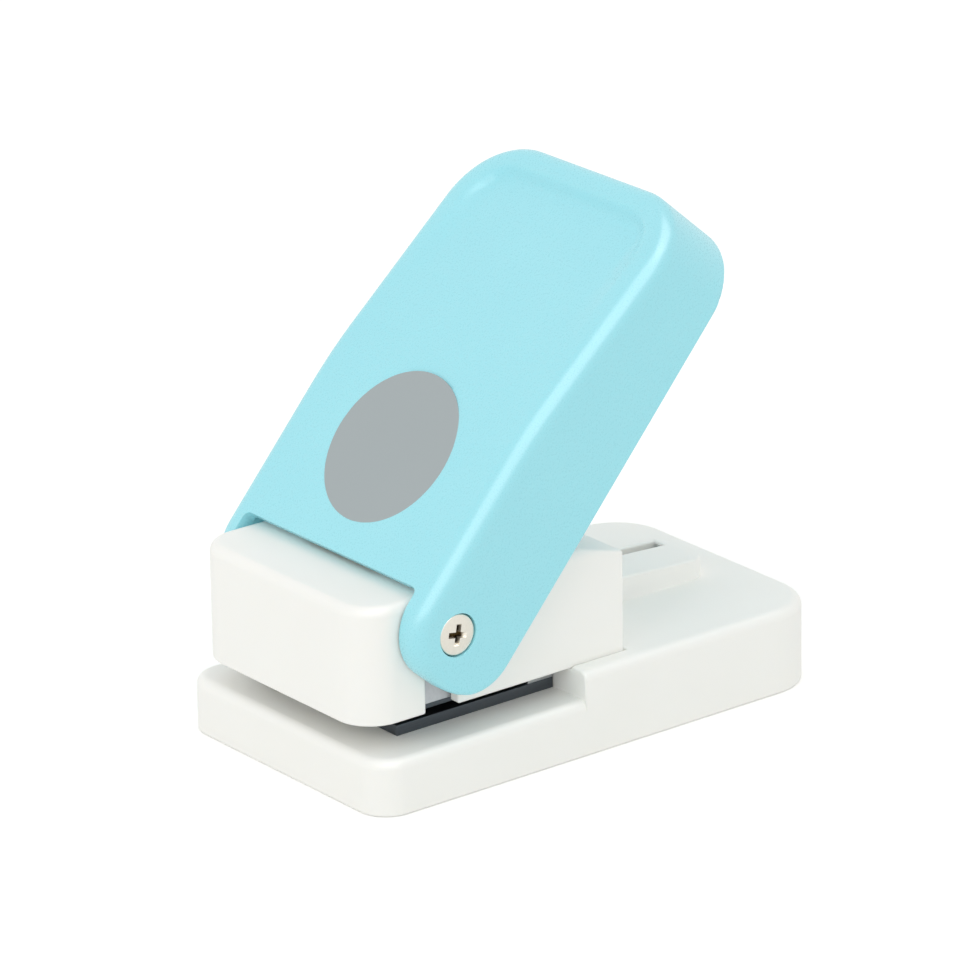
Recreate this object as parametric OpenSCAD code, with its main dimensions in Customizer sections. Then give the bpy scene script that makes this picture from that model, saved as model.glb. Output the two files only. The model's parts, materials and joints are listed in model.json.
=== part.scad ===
// Circle craft punch: a hinged lever drives a round cutter through paper laid in a throat.
// Millimetres. The origin is the middle of the base's underside, the front faces -Y and +Z is up.
// The lever is drawn raised, as it stands at rest.

/* [Base] */
// Width of the base from side to side
base_w = 48.5; // [47:0.5:54]
// Length of the base from front to back
base_l = 85.5; // [82:0.5:94]
// Radius of the base's front corners seen from above
base_corner_r = 5; // [4:0.2:8]
// Radius of the base's rear corners seen from above
base_rear_r = 9.2; // [7:0.2:10]
// Radius of the base's soft top edges
base_edge_r = 1.6; // [0.6:0.1:2]
// Wall of the hollow base
base_wall = 2.4; // [2:0.1:3]
// Height of the front platform that the paper lies on
platform_z = 8.8; // [8.4:0.1:10]
// Height of the throat between the platform and the housing
throat_h = 4.1; // [4.1:0.1:5]
// Depth of the throat from the front edge to the step
throat_depth = 38.5; // [38:0.1:41]
// Thickness of the plate that closes the base from below
cover_t = 2; // [1.6:0.1:2.4]
// How far the closing plate lies above the base's rim
cover_lift = 0.5; // [0.2:0.1:0.8]

/* [Spine on the rear deck] */
// Width of the spine
spine_w = 11.4; // [9:0.1:14]
// Height of the spine above the deck at the housing
spine_h = 4.7; // [3:0.1:5.4]
// Fall of the spine's top towards the rear
spine_fall = 1.6; // [0.2:0.1:2]
// Distance from the spine's end to the rear edge of the base
spine_end_gap = 8; // [5:0.1:10]
// Radius of the spine's rear corners seen from above
spine_corner_r = 2.6; // [1:0.1:4]
// Width of the slot along the spine, which is open to the hollow below
spine_slot_w = 2.2; // [1:0.1:2.8]
// Wall of the spine left of the slot
spine_slot_wall = 1; // [0.8:0.1:3]

/* [Cutting set] */
// Diameter of the punched circle
punch_d = 25; // [23:0.1:27]
// Height of the steel cutter
punch_h = 9; // [8:0.1:9.6]
// How far the resting cutter's edge lies inside the guide plate
punch_recess = 0.4; // [0.2:0.1:0.8]
// Depth of the hollow in the cutter's face
punch_hollow = 0.9; // [0.4:0.1:1.2]
// Thickness of the die plate
die_t = 1.7; // [1.5:0.1:2]
// Height of the gap that the paper slides into
paper_gap = 1.2; // [0.9:0.1:1.6]
// Thickness of the guide plate
guide_t = 1.6; // [1.4:0.1:2]
// Width of the die plate beside the hole, each side
die_side = 4.1; // [3.8:0.1:4.6]
// Width of the die plate in front of the hole
die_web = 1.7; // [1.4:0.1:3]

/* [Pivot and drive] */
// Distance of the pivot behind the front edge
pivot_setback = 14.5; // [14:0.1:15.4]
// Height of the pivot above the housing's underside
pivot_h = 12.85; // [12.4:0.05:13.4]
// Angle that the lever stands open
lever_open = 48.9; // [40:0.1:50]
// Distance of the punch axis behind the pivot, which is also the cam's base radius
cam_arm = 8.7; // [8.5:0.1:9.2]
// How far the pusher's top lies below the pivot at rest
cam_drop = 0.4; // [0.3:0.1:0.8]
// Width of the cam
cam_w = 14; // [10:0.5:16]
// Diameter of the bush that the lever turns on
bush_d = 5; // [4.4:0.1:5.2]
// Diameter of the frame's pivot boss
boss_d = 5.4; // [5.2:0.1:5.6]
// Diameter of the pivot screw's head
pivot_head_d = 6.3; // [5.8:0.1:7.4]
// Thickness of the pivot screw's head
pivot_head_h = 1.2; // [1:0.1:1.5]
// Diameter of the machine screws
screw_d = 2.9; // [2.5:0.1:3]

/* [Housing] */
// Length of the housing from its front to its back
housing_l = 48.8; // [48:0.1:50]
// Height of the housing
housing_h = 18.4; // [18:0.1:19.2]
// How deep the housing sits in the deck
housing_seat = 0.5; // [0.3:0.1:0.8]
// Wall of the housing
housing_wall = 2.1; // [1.8:0.1:2.3]
// Radius of the housing's front corners seen from above
housing_corner_r = 6; // [4:0.5:9]
// Radius of the housing's soft top edges
housing_edge_r = 1.6; // [0.6:0.1:2]
// Length of the slope at the rear of the housing's top
housing_slope_l = 8.4; // [6:0.1:9]
// Fall of that slope
housing_slope_drop = 2.2; // [1:0.1:2.4]

/* [Springs] */
// Outer diameter of a return spring
spring_d = 4.4; // [3.8:0.1:4.6]
// Diameter of the spring wire
spring_wire = 0.45; // [0.35:0.05:0.5]
// Number of turns
spring_turns = 4.5; // [4:0.5:6]
// Width of the bay beside the cutter that holds a spring
spring_bay = 5.8; // [5.6:0.1:6.6]
// Thickness of the pusher's ears
ear_t = 1.9; // [1.6:0.1:2.2]

/* [Lever] */
// Length of the lever from the pivot to its end
lever_l = 71.8; // [67:0.1:74]
// Height of the lever's top above the pivot line
lever_top = 8.2; // [8:0.1:8.8]
// Depth of the lever's cheeks below the pivot line
lever_bottom = 11.5; // [10.5:0.05:11.6]
// Thickness of the lever's cheeks at the pivot
cheek_t = 3.8; // [3.6:0.1:4.4]
// How far behind the pivot the cheeks keep that thickness
cheek_l = 10; // [8:0.5:14]
// Wall of the lever away from the pivot
lever_wall = 2.4; // [2:0.1:3]
// Thickness of the lever's top plate
plate_t = 1.9; // [1.7:0.1:2]
// Distance of the top plate's front edge from the pivot
plate_front = 2.6; // [2.2:0.1:2.8]
// Distance from the pivot to the front of the cheeks
nose_reach = 7.7; // [7.4:0.1:8.4]
// Radius of the cheek's upper front corner
nose_r = 8; // [6:0.1:8.4]
// Radius of the cheek's lower front corner
heel_r = 8.2; // [6:0.1:9]
// Radius of the lower corner at the lever's end
tail_r = 2; // [1:0.1:6]
// Width of the bevel along the lever's top edges
lever_bevel = 1.2; // [0.5:0.1:2.2]
// Radius of the lever's end corners seen from above
lever_corner_r = 11.2; // [6:0.1:13]
// Distance from the pivot where the top starts to slope down
slope_start = 24.3; // [20:0.1:28]
// Angle of the sloping top
slope_angle = 7.6; // [5:0.1:9]
// Radius of the bend where the slope starts
slope_bend_r = 86; // [40:1:120]
// Depth of the tray at the lever's end
tray_depth = 1.2; // [0.8:0.1:1.6]
// Distance from the pivot where the tray begins
tray_start = 36; // [33:0.5:44]
// Width of the tray's rim at the sides
tray_rim = 5; // [4:0.1:7]
// Width of the tray's rim at the end
tray_end_rim = 3.6; // [3:0.1:6]
// Radius of the tray's corners seen from above
tray_corner_r = 5; // [4:0.1:7]
// Distance of the size disc's middle from the pivot
disc_u = 20.2; // [19.5:0.1:21]
// Thickness of the size disc
disc_t = 0.5; // [0.3:0.1:0.6]

/* [Clearances] */
// Play between the cutter and its guides, on the radius
punch_play = 0.03; // [0.02:0.01:0.08]
// Play between the bush and the lever, on the radius
pivot_play = 0.05; // [0.02:0.01:0.08]
// Play at the sides of the pivot, each end
pivot_end_play = 0.15; // [0.1:0.01:0.25]
// Gap between the housing and the lever's cheeks
cheek_gap = 0.3; // [0.3:0.05:0.5]
// Gap between parts that are laid in each other
fit_gap = 0.15; // [0.1:0.01:0.2]
// Gap round a screw's shank, on the radius
screw_play = 0.05; // [0.03:0.01:0.1]
// Gap between the cam and the pusher
cam_gap = 0.1; // [0.05:0.01:0.2]

/* [Hidden] */
$fn = 96;
far = 200;
// How far cutting shapes reach past the faces they cut, and joined shapes into each other
over = 1;

// Heights
housing_bottom = platform_z + throat_h;
deck_z = housing_bottom + housing_seat;
cover_top = cover_lift + cover_t;
die_top = platform_z + die_t;
guide_bottom = die_top + paper_gap;
frame_bottom = guide_bottom + guide_t;
pivot_z = housing_bottom + pivot_h;
head_top = pivot_z - cam_drop;
ear_bottom = head_top - ear_t;
punch_bottom = guide_bottom + punch_recess;
punch_top = punch_bottom + punch_h;
frame_rest_gap = 1.6;
frame_top = ear_bottom - frame_rest_gap;
housing_top = housing_bottom + housing_h;
housing_inner_top = housing_top - housing_wall;

// Places from front to back
front_y = -base_l / 2;
rear_y = base_l / 2;
step_y = front_y + throat_depth;
pivot_y = front_y + pivot_setback;
punch_y = pivot_y + cam_arm;
housing_rear_y = front_y + housing_l;
die_front_y = punch_y - punch_d / 2 - die_web;
plate_rear_y = step_y - fit_gap;

// Widths
frame_w = punch_d + 2 * spring_bay;
housing_w = frame_w + 2 * (fit_gap + housing_wall);
lever_inner_w = housing_w + 2 * cheek_gap;
lever_w = lever_inner_w + 2 * cheek_t;
die_w = punch_d + 2 * die_side;

// Base
spine_front = housing_rear_y + fit_gap;
spine_rear = rear_y - spine_end_gap;
spine_l = spine_rear - spine_front;
slot_end_wall = 2;
roof_t = 2.4;
boss_wall = 1.9;
chute_d = punch_d + 2;
chute_wall = 1.8;
cover_inset = base_wall + fit_gap;

// Screws
screw_head_d = 5;
screw_head_h = 1.6;
small_head_d = 4;
small_head_h = 0.9;
screw_bore_d = screw_d + 2 * screw_play;
head_wall = 1.1;
screw_boss_d = screw_head_d + 2 * (fit_gap + head_wall);
boss_d_small = screw_d + 2 * boss_wall;
recess_w = 0.9;
recess_d = 0.8;
recess_share = 0.6;
tip_room = 0.6;
plate_screw_inset = 2.4;
plate_screw_reach = 5;
die_screw_x = die_w / 2 - plate_screw_inset;
die_screw_y = plate_rear_y - plate_screw_inset;
die_screw_grip = 3.4;
die_screw_seat = platform_z - die_screw_grip;
plate_screw_tip = frame_bottom + plate_screw_reach;
guide_screw_back = 0.8;
guide_screw_y = punch_y - punch_d / 2 + guide_screw_back;
guide_head_skin = 0.6;
guide_screw_seat = guide_bottom + guide_t - guide_head_skin;
deck_screw_grip = 5;
deck_screw_seat = housing_bottom - deck_screw_grip;
frame_screw_x = 6.5;
frame_screw_back = 4.2;
frame_screw_y = step_y + frame_screw_back;
frame_screw_reach = 6;
frame_screw_tip = housing_bottom + frame_screw_reach;
boss_sink = 0.8;
housing_screw_x = housing_w / 2 - housing_wall - boss_d_small / 2 + boss_sink;
housing_screw_back = 4.5;
housing_screw_y = step_y + housing_screw_back;
housing_screw_reach = 8;
housing_screw_tip = housing_bottom + housing_screw_reach;
boss_cap = 3;
cover_boss_sink = 0.4;
cover_screw_x = base_w / 2 - base_wall - boss_d_small / 2 + cover_boss_sink;
cover_screw_y = base_l / 2 - base_rear_r;
cover_screw_skin = 2;
cover_screw_tip = platform_z - cover_screw_skin;
cover_head_proud = 0.4;
cover_screw_seat = cover_lift + screw_head_h - cover_head_proud;

// Frame
frame_front_wall = 2.8;
frame_front_y = punch_y - punch_d / 2 - frame_front_wall;
frame_bore_gap = 0.2;
frame_floor_t = 1.2;
foot_w = 21;
foot_h = 8;
foot_top = housing_bottom + foot_h;
pivot_ear_t = 3.8;
pivot_ear_l = 8;
pivot_ear_top = housing_inner_top - 2 * fit_gap;
boss_x = lever_inner_w / 2 - pivot_end_play;
pivot_slot_w = boss_d + 4 * fit_gap;

// Pusher and springs
ear_w = 6;
ear_gap = 0.4;
ear_end_gap = 1;
ear_reach = frame_w / 2 - ear_end_gap;
spigot_d = 16;
spigot_h = 3.6;
head_gap = 0.2;
head_sink = 0.3;
head_screw_seat = head_top - screw_head_h - head_sink;
head_screw_reach = 2.4;
spring_x = punch_d / 2 + spring_bay / 2;
spring_seat_gap = 0.05;
spring_r = (spring_d - spring_wire) / 2;
spring_low = frame_bottom + spring_wire / 2 + spring_seat_gap;
spring_high = ear_bottom - spring_wire / 2 - spring_seat_gap;
wire_sides = 6;
rings_per_turn = 12;

// Lever, cam and window
nose_u = nose_r - nose_reach;
heel_u = heel_r - nose_reach;
tail_u = lever_l - tail_r;
plate_under = lever_top - plate_t;
head_pocket_gap = 0.2;
pivot_head_sink = 0.1;
bush_l = cheek_t - pivot_head_h + pivot_end_play - pivot_head_sink;
pivot_screw_reach = 6;
pivot_recess_share = 0.54;
pivot_recess_turn = -10;
pocket_x = boss_x + bush_l - pivot_end_play;
cam_steps = 24;
cam_flange_t = 2;
cam_flange_w = 18;
cam_flange_front = 4.2;
cam_flange_rear = 15.4;
cam_back_u = 13;
cam_toe_u = 0.6;
cam_heel_v = 4;
cam_screw_u = 10.6;
cam_screw_x = 3;
cam_screw_l = 8;
cam_screw_seat = lever_top - disc_t - small_head_h;
window_gap = 1.1;

white = "#EDEEE9";
blue = "#A5E1EC";
grey = "#A7B0B2";
cast_alloy = "#CFD2D6";
dark_steel = "#4C5156";
bright_steel = "#B9BCC0";
nickel = "#DDD6C8";
acetal = "#E8E4D8";

// Section from an axis outwards with a rounded top corner
module soft_profile(reach, h, e) {
    square([reach, h - e]);
    square([reach - e, h]);
    translate([reach - e, h - e]) circle(r = e);
}

// Block on z = 0 with upright corners of radius r and a top edge of radius e
module soft_block(w, l, h, r, e) {
    cw = w / 2 - r;
    cl = l / 2 - r;
    translate([-cw, -cl, 0]) cube([2 * cw, 2 * cl, h]);
    for (s = [0, 1]) mirror([s, 0, 0]) {
        translate([cw, cl, 0]) rotate([90, 0, 0]) linear_extrude(2 * cl) soft_profile(r, h, e);
        for (t = [0, 1]) mirror([0, t, 0])
            translate([cw, cl, 0]) rotate_extrude(angle = 90) soft_profile(r, h, e);
    }
    for (t = [0, 1]) mirror([0, t, 0])
        translate([-cw, cl, 0]) rotate([90, 0, 90]) linear_extrude(2 * cw) soft_profile(r, h, e);
}

// Flat outline with rounded corners
module round_rect(w, l, r) {
    square([w - 2 * r, l], center = true);
    square([w, l - 2 * r], center = true);
    for (x = [-1, 1], y = [-1, 1]) translate([x * (w / 2 - r), y * (l / 2 - r)]) circle(r = r);
}

// Everything between two places along Y
module between_y(y0, y1) {
    translate([-far / 2, y0, -far / 2]) cube([far, y1 - y0, far]);
}

// A side outline in Y and Z, made solid across X about the middle
module across(w) {
    rotate([90, 0, 90]) translate([0, 0, -w / 2]) linear_extrude(w) children();
}

// Copies to the left and the right
module both_sides() {
    for (s = [0, 1]) mirror([s, 0, 0]) children();
}

// Upright hole or pin between two heights
module upright(x, y, z0, z1, d) {
    translate([x, y, z0]) cylinder(d = d, h = z1 - z0);
}

// Cross recess cut into a screw head whose face lies on z = 0 and looks down
module cross_recess(reach) {
    for (a = [0, 90]) rotate([0, 0, a])
        translate([-reach / 2, -recess_w / 2, -over]) cube([reach, recess_w, recess_d + over]);
}

// Screw that is driven upwards: its head seats at z0 and its tip ends at z1
module screw_up(x, y, z0, z1) {
    difference() {
        union() {
            upright(x, y, z0 - screw_head_h, z0, screw_head_d);
            upright(x, y, z0, z1, screw_d);
        }
        translate([x, y, z0 - screw_head_h]) cross_recess(screw_head_d * recess_share);
    }
}

// Bore for such a screw, with a pocket for its head below the seat
module screw_way(x, y, z0, z1) {
    upright(x, y, z0 - far / 2, z0, screw_head_d + 2 * fit_gap);
    upright(x, y, z0 - over, z1 + tip_room, screw_bore_d);
}

// Moves what is drawn about the pivot with the lever shut to where it stands at rest
module on_lever() {
    translate([0, pivot_y, pivot_z]) rotate([lever_open, 0, 0]) children();
}

// Rotates a flat point about the pivot
function turn(p, a) = [p.x * cos(a) - p.y * sin(a), p.x * sin(a) + p.y * cos(a)];

// Cam face, an involute: the pusher falls by cam_arm for each radian of the lever
function cam_point(a) =
    turn([cam_arm, cam_gap - cam_drop - cam_arm * a * PI / 180], a - lever_open);

// Height of the lever's top line: flat, then a bend, then a straight slope
bend_l = slope_bend_r * sin(slope_angle);
bend_drop = slope_bend_r * (1 - cos(slope_angle));
function lever_line(u) =
    u < slope_start ? lever_top
    : u < slope_start + bend_l
        ? lever_top - slope_bend_r + sqrt(pow(slope_bend_r, 2) - pow(u - slope_start, 2))
    : lever_top - bend_drop - (u - slope_start - bend_l) * tan(slope_angle);

// Height of the tray's floor, which sinks gently below the top line
tray_run = lever_l - tray_end_rim - tray_start;
tray_ease = 0.75;
function tray_share(u) = min(1, max(0, (u - tray_start) / (tray_ease * tray_run)));
function tray_line(u) = lever_line(u) - tray_depth * (1 - cos(180 * tray_share(u))) / 2;
line_step = 2;
line_us = [for (u = [slope_start : line_step : lever_l]) u];

// Base: shell, step, spine, bosses and the chute that the circles drop through
module base_block() {
    intersection() {
        soft_block(base_w, base_l, platform_z, base_corner_r, base_edge_r);
        between_y(front_y - over, step_y);
    }
    intersection() {
        soft_block(base_w, base_l, deck_z, base_rear_r, base_edge_r);
        between_y(step_y, rear_y + over);
    }
    intersection() {
        across(base_w) polygon([
            [spine_front, deck_z - over], [spine_front, deck_z + spine_h],
            [spine_rear + over, deck_z + spine_h - spine_fall * (1 + over / spine_l)],
            [spine_rear + over, deck_z - over]]);
        translate([0, spine_front, 0]) linear_extrude(far) round_rect(spine_w, 2 * spine_l, spine_corner_r);
    }
}

// Block inside the base's outline between two places along Y, for the corners of outer radius r
module base_inside(inset, h, r, y0, y1) {
    intersection() {
        linear_extrude(h) round_rect(base_w - 2 * inset, base_l - 2 * inset, r - inset);
        between_y(y0, y1);
    }
}

module base_hollow() {
    translate([0, 0, -over]) {
        base_inside(base_wall, platform_z - roof_t + over, base_corner_r, front_y, rear_y - base_rear_r);
        base_inside(base_wall, deck_z - roof_t + over, base_rear_r, step_y + base_wall, rear_y);
    }
}

module base() {
    color(white) difference() {
        union() {
            difference() {
                base_block();
                base_hollow();
            }
            upright(0, punch_y, cover_top, platform_z, chute_d + 2 * chute_wall);
            for (s = [-1, 1]) {
                upright(s * die_screw_x, die_screw_y, cover_top, platform_z, screw_boss_d);
                upright(s * frame_screw_x, frame_screw_y, cover_top, housing_bottom, screw_boss_d);
                upright(s * housing_screw_x, housing_screw_y, cover_top, housing_bottom, screw_boss_d);
                for (t = [-1, 1])
                    upright(s * cover_screw_x, t * cover_screw_y, cover_top, platform_z - roof_t + over,
                        boss_d_small);
            }
        }
        upright(0, punch_y, -over, deck_z, chute_d);
        for (s = [-1, 1]) {
            screw_way(s * die_screw_x, die_screw_y, die_screw_seat, deck_z);
            screw_way(s * frame_screw_x, frame_screw_y, deck_screw_seat, deck_z);
            screw_way(s * housing_screw_x, housing_screw_y, deck_screw_seat, deck_z);
            for (t = [-1, 1])
                upright(s * cover_screw_x, t * cover_screw_y, 0, cover_screw_tip + tip_room, screw_bore_d);
        }
        translate([-housing_w / 2 - fit_gap, step_y - over, housing_bottom])
            cube([housing_w + 2 * fit_gap, housing_rear_y + fit_gap - step_y + over, far]);
        translate([spine_slot_wall - spine_w / 2, spine_front + slot_end_wall, deck_z - roof_t - over])
            cube([spine_slot_w, spine_l - 2 * slot_end_wall, far]);
    }
}

// Plate under the base
module base_cover() {
    color(white) difference() {
        translate([0, 0, cover_lift]) {
            base_inside(cover_inset, cover_t, base_corner_r, front_y, rear_y - base_rear_r);
            base_inside(cover_inset, cover_t, base_rear_r, step_y, rear_y);
        }
        upright(0, punch_y, -over, deck_z, chute_d);
        for (s = [-1, 1], t = [-1, 1])
            translate([s * cover_screw_x, t * cover_screw_y, 0]) {
                cylinder(d = screw_bore_d, h = deck_z);
                cylinder(d = screw_head_d + 2 * fit_gap, h = cover_screw_seat);
            }
    }
}

module cover_screws() {
    color(bright_steel) for (s = [-1, 1], t = [-1, 1])
        screw_up(s * cover_screw_x, t * cover_screw_y, cover_screw_seat, cover_screw_tip);
}

// Steel plates of the cutting set
module steel_plate(z0, t) {
    difference() {
        translate([-die_w / 2, die_front_y, z0]) cube([die_w, plate_rear_y - die_front_y, t]);
        upright(0, punch_y, z0 - over, z0 + t + over, punch_d + 2 * punch_play);
        both_sides() upright(die_screw_x, die_screw_y, z0 - over, z0 + t + over, screw_bore_d);
    }
}

module die_plate() {
    color(dark_steel) steel_plate(platform_z, die_t);
}

module guide_plate() {
    color(dark_steel) difference() {
        steel_plate(guide_bottom, guide_t);
        both_sides() {
            upright(die_screw_x, guide_screw_y, guide_bottom - over, frame_bottom + over, screw_bore_d);
            upright(die_screw_x, guide_screw_y, guide_bottom - over, guide_screw_seat,
                small_head_d + 2 * fit_gap);
        }
    }
}

module paper_stop() {
    pad = 2 * (plate_rear_y - die_screw_y);
    bar = plate_rear_y - punch_y - punch_d / 2 - 2 * fit_gap;
    color(bright_steel) translate([0, 0, die_top]) linear_extrude(paper_gap) difference() {
        translate([-die_w / 2, plate_rear_y - pad]) square([die_w, pad]);
        translate([pad - die_w / 2, plate_rear_y - pad - over]) square([die_w - 2 * pad, pad - bar + over]);
        both_sides() translate([die_screw_x, die_screw_y]) circle(d = screw_bore_d);
    }
}

module die_screws() {
    color(bright_steel) both_sides() screw_up(die_screw_x, die_screw_y, die_screw_seat, plate_screw_tip);
}

module guide_screws() {
    color(bright_steel) both_sides() difference() {
        union() {
            upright(die_screw_x, guide_screw_y, guide_bottom + fit_gap, guide_screw_seat, small_head_d);
            upright(die_screw_x, guide_screw_y, guide_screw_seat, plate_screw_tip, screw_d);
        }
        translate([die_screw_x, guide_screw_y, guide_bottom + fit_gap - recess_d / 2])
            cross_recess(small_head_d * recess_share);
    }
}

// Cast frame: guides the pusher, carries the springs and holds the pivot bosses
module punch_frame() {
    color(cast_alloy) difference() {
        union() {
            translate([-frame_w / 2, frame_front_y, frame_bottom])
                cube([frame_w, plate_rear_y - frame_front_y, frame_top - frame_bottom]);
            translate([-foot_w / 2, plate_rear_y - over, frame_bottom])
                cube([foot_w, 2 * over, foot_top - frame_bottom]);
            translate([-foot_w / 2, step_y, housing_bottom])
                cube([foot_w, housing_rear_y - housing_wall - fit_gap - step_y, foot_top - housing_bottom]);
            both_sides() {
                translate([frame_w / 2 - pivot_ear_t, pivot_y - pivot_ear_l / 2, frame_bottom])
                    cube([pivot_ear_t, pivot_ear_l, pivot_ear_top - frame_bottom]);
                translate([frame_w / 2 - over, pivot_y, pivot_z]) rotate([0, 90, 0])
                    cylinder(d = boss_d, h = boss_x - frame_w / 2 + over);
            }
        }
        upright(0, punch_y, frame_bottom - over, far, punch_d + 2 * frame_bore_gap);
        both_sides() {
            translate([0, punch_y - ear_w / 2 - ear_gap, frame_bottom + frame_floor_t])
                cube([ear_reach + ear_gap, ear_w + 2 * ear_gap, far]);
            upright(spring_x, punch_y, frame_bottom - over, frame_top, spring_d + 4 * fit_gap);
            upright(die_screw_x, die_screw_y, frame_bottom - over, plate_screw_tip + tip_room, screw_bore_d);
            upright(die_screw_x, guide_screw_y, frame_bottom - over, plate_screw_tip + tip_room,
                screw_bore_d);
            upright(frame_screw_x, frame_screw_y, housing_bottom - over, frame_screw_tip + tip_room,
                screw_bore_d);
            translate([0, pivot_y, pivot_z]) rotate([0, 90, 0]) cylinder(d = screw_bore_d, h = far);
        }
    }
}

module frame_screws() {
    color(bright_steel) both_sides() screw_up(frame_screw_x, frame_screw_y, deck_screw_seat, frame_screw_tip);
}

// Housing: cover with a sloping rear top, a slot under each pivot and a window for the cam
module housing_side(inset) {
    rear = housing_rear_y - inset;
    top = housing_top - inset;
    polygon([
        [front_y - over, housing_bottom - over], [front_y - over, top],
        [housing_rear_y - housing_slope_l, top],
        [rear, top - housing_slope_drop * (1 - inset / housing_slope_l)],
        [rear, housing_bottom - over]]);
}

module housing_block() {
    intersection() {
        translate([0, 0, housing_bottom])
            soft_block(housing_w, base_l, housing_h, housing_corner_r, housing_edge_r);
        across(far) housing_side(0);
    }
}

module housing_hollow() {
    floor_rear_y = frame_front_y - fit_gap;
    floor_t = 2;
    inner_w = housing_w - 2 * housing_wall;
    inner_front = front_y + housing_wall;
    intersection() {
        across(inner_w) housing_side(housing_wall);
        translate([0, 0, housing_bottom + floor_t]) linear_extrude(far)
            translate([0, inner_front + base_l / 2])
                round_rect(inner_w, base_l, housing_corner_r - housing_wall);
    }
    translate([-inner_w / 2, floor_rear_y, housing_bottom - over])
        cube([inner_w, housing_rear_y - housing_wall - floor_rear_y, floor_t + 2 * over]);
}

module housing() {
    color(white) difference() {
        union() {
            difference() {
                housing_block();
                housing_hollow();
            }
            both_sides()
                upright(housing_screw_x, housing_screw_y, housing_bottom, housing_screw_tip + boss_cap,
                    boss_d_small);
        }
        both_sides() {
            upright(housing_screw_x, housing_screw_y, housing_bottom - over, housing_screw_tip + tip_room,
                screw_bore_d);
            translate([frame_w / 2, pivot_y, pivot_z]) rotate([0, 90, 0]) cylinder(d = pivot_slot_w, h = far);
            translate([frame_w / 2, pivot_y - pivot_slot_w / 2, housing_bottom - over])
                cube([far, pivot_slot_w, pivot_h + over]);
        }
        translate([-cam_flange_w / 2 - window_gap, pivot_y - window_gap, housing_inner_top - over])
            cube([cam_flange_w + 2 * window_gap, cam_flange_rear + 2 * window_gap, housing_wall + 2 * over]);
    }
}

module housing_screws() {
    color(bright_steel) both_sides()
        screw_up(housing_screw_x, housing_screw_y, deck_screw_seat, housing_screw_tip);
}

// Pivot on the right side; the left one is its mirror image
module pivot_bush_right() {
    color(bright_steel) translate([boss_x, pivot_y, pivot_z]) rotate([0, 90, 0]) difference() {
        cylinder(d = bush_d, h = bush_l);
        translate([0, 0, -over]) cylinder(d = screw_bore_d, h = bush_l + 2 * over);
    }
}

module pivot_bush_left() {
    mirror([1, 0, 0]) pivot_bush_right();
}

module pivot_screw_right() {
    color(nickel) translate([boss_x + bush_l, pivot_y, pivot_z]) rotate([0, 90, 0]) difference() {
        union() {
            cylinder(d = pivot_head_d, h = pivot_head_h);
            translate([0, 0, -bush_l - pivot_screw_reach])
                cylinder(d = screw_d, h = bush_l + pivot_screw_reach);
        }
        translate([0, 0, pivot_head_h]) rotate([180, 0, pivot_recess_turn])
            cross_recess(pivot_head_d * pivot_recess_share);
    }
}

module pivot_screw_left() {
    mirror([1, 0, 0]) pivot_screw_right();
}

// Return springs: a wire swept along a helix between the guide plate and the pusher's ear
function helix(t) = [
    spring_r * cos(360 * t), spring_r * sin(360 * t),
    spring_low + (spring_high - spring_low) * t / spring_turns];
spring_rings = round(spring_turns * rings_per_turn);
spring_points = [for (i = [0 : spring_rings], j = [0 : wire_sides - 1])
    let (t = i / rings_per_turn, p = helix(t), a = 360 * j / wire_sides)
    [p.x + spring_wire / 2 * cos(a) * cos(360 * t), p.y + spring_wire / 2 * cos(a) * sin(360 * t),
     p.z + spring_wire / 2 * sin(a)]];
function ring_point(i, j) = i * wire_sides + j % wire_sides;
spring_faces = concat(
    [for (j = [1 : wire_sides - 2]) [0, j, j + 1]],
    [for (j = [1 : wire_sides - 2]) [ring_point(spring_rings, 0), ring_point(spring_rings, j + 1),
        ring_point(spring_rings, j)]],
    [for (i = [0 : spring_rings - 1], j = [0 : wire_sides - 1])
        [ring_point(i, j), ring_point(i + 1, j), ring_point(i + 1, j + 1)]],
    [for (i = [0 : spring_rings - 1], j = [0 : wire_sides - 1])
        [ring_point(i, j), ring_point(i + 1, j + 1), ring_point(i, j + 1)]]);
spring_gap = min([for (i = [0 : spring_rings - rings_per_turn])
    helix(i / rings_per_turn + 1).z - helix(i / rings_per_turn).z - spring_wire]);
echo(least_gap_between_turns = spring_gap);

module spring_right() {
    color(bright_steel) translate([spring_x, punch_y, 0]) polyhedron(spring_points, spring_faces);
}

module spring_left() {
    color(bright_steel) translate([-spring_x, punch_y, 0]) polyhedron(spring_points, spring_faces);
}

// Cutter with a hollow face, so that it shears the paper from two sides
module punch() {
    hollow_r = (pow(punch_d / 2, 2) + pow(punch_hollow, 2)) / (2 * punch_hollow);
    color(bright_steel) difference() {
        upright(0, punch_y, punch_bottom, punch_top, punch_d);
        translate([0, punch_y, punch_bottom + punch_hollow - hollow_r]) rotate([90, 0, 0])
            cylinder(r = hollow_r, h = 2 * punch_d, center = true, $fn = 360);
        upright(0, punch_y, punch_top - spigot_h - fit_gap, punch_top + over, spigot_d + 2 * fit_gap);
        upright(0, punch_y, punch_top - spigot_h - head_screw_reach - tip_room, punch_top, screw_bore_d);
    }
}

module punch_head() {
    color(acetal) difference() {
        union() {
            upright(0, punch_y, punch_top, head_top, punch_d - 2 * head_gap);
            upright(0, punch_y, punch_top - spigot_h, punch_top + over, spigot_d);
            translate([-ear_reach, punch_y - ear_w / 2, ear_bottom]) cube([2 * ear_reach, ear_w, ear_t]);
        }
        upright(0, punch_y, punch_top - spigot_h - over, head_top + over, screw_bore_d);
        upright(0, punch_y, head_screw_seat, head_top + over, screw_head_d + 2 * fit_gap);
    }
}

module head_screw() {
    color(bright_steel) translate([0, punch_y, head_screw_seat]) mirror([0, 0, 1])
        screw_up(0, 0, 0, head_screw_seat - punch_top + spigot_h + head_screw_reach);
}

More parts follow.
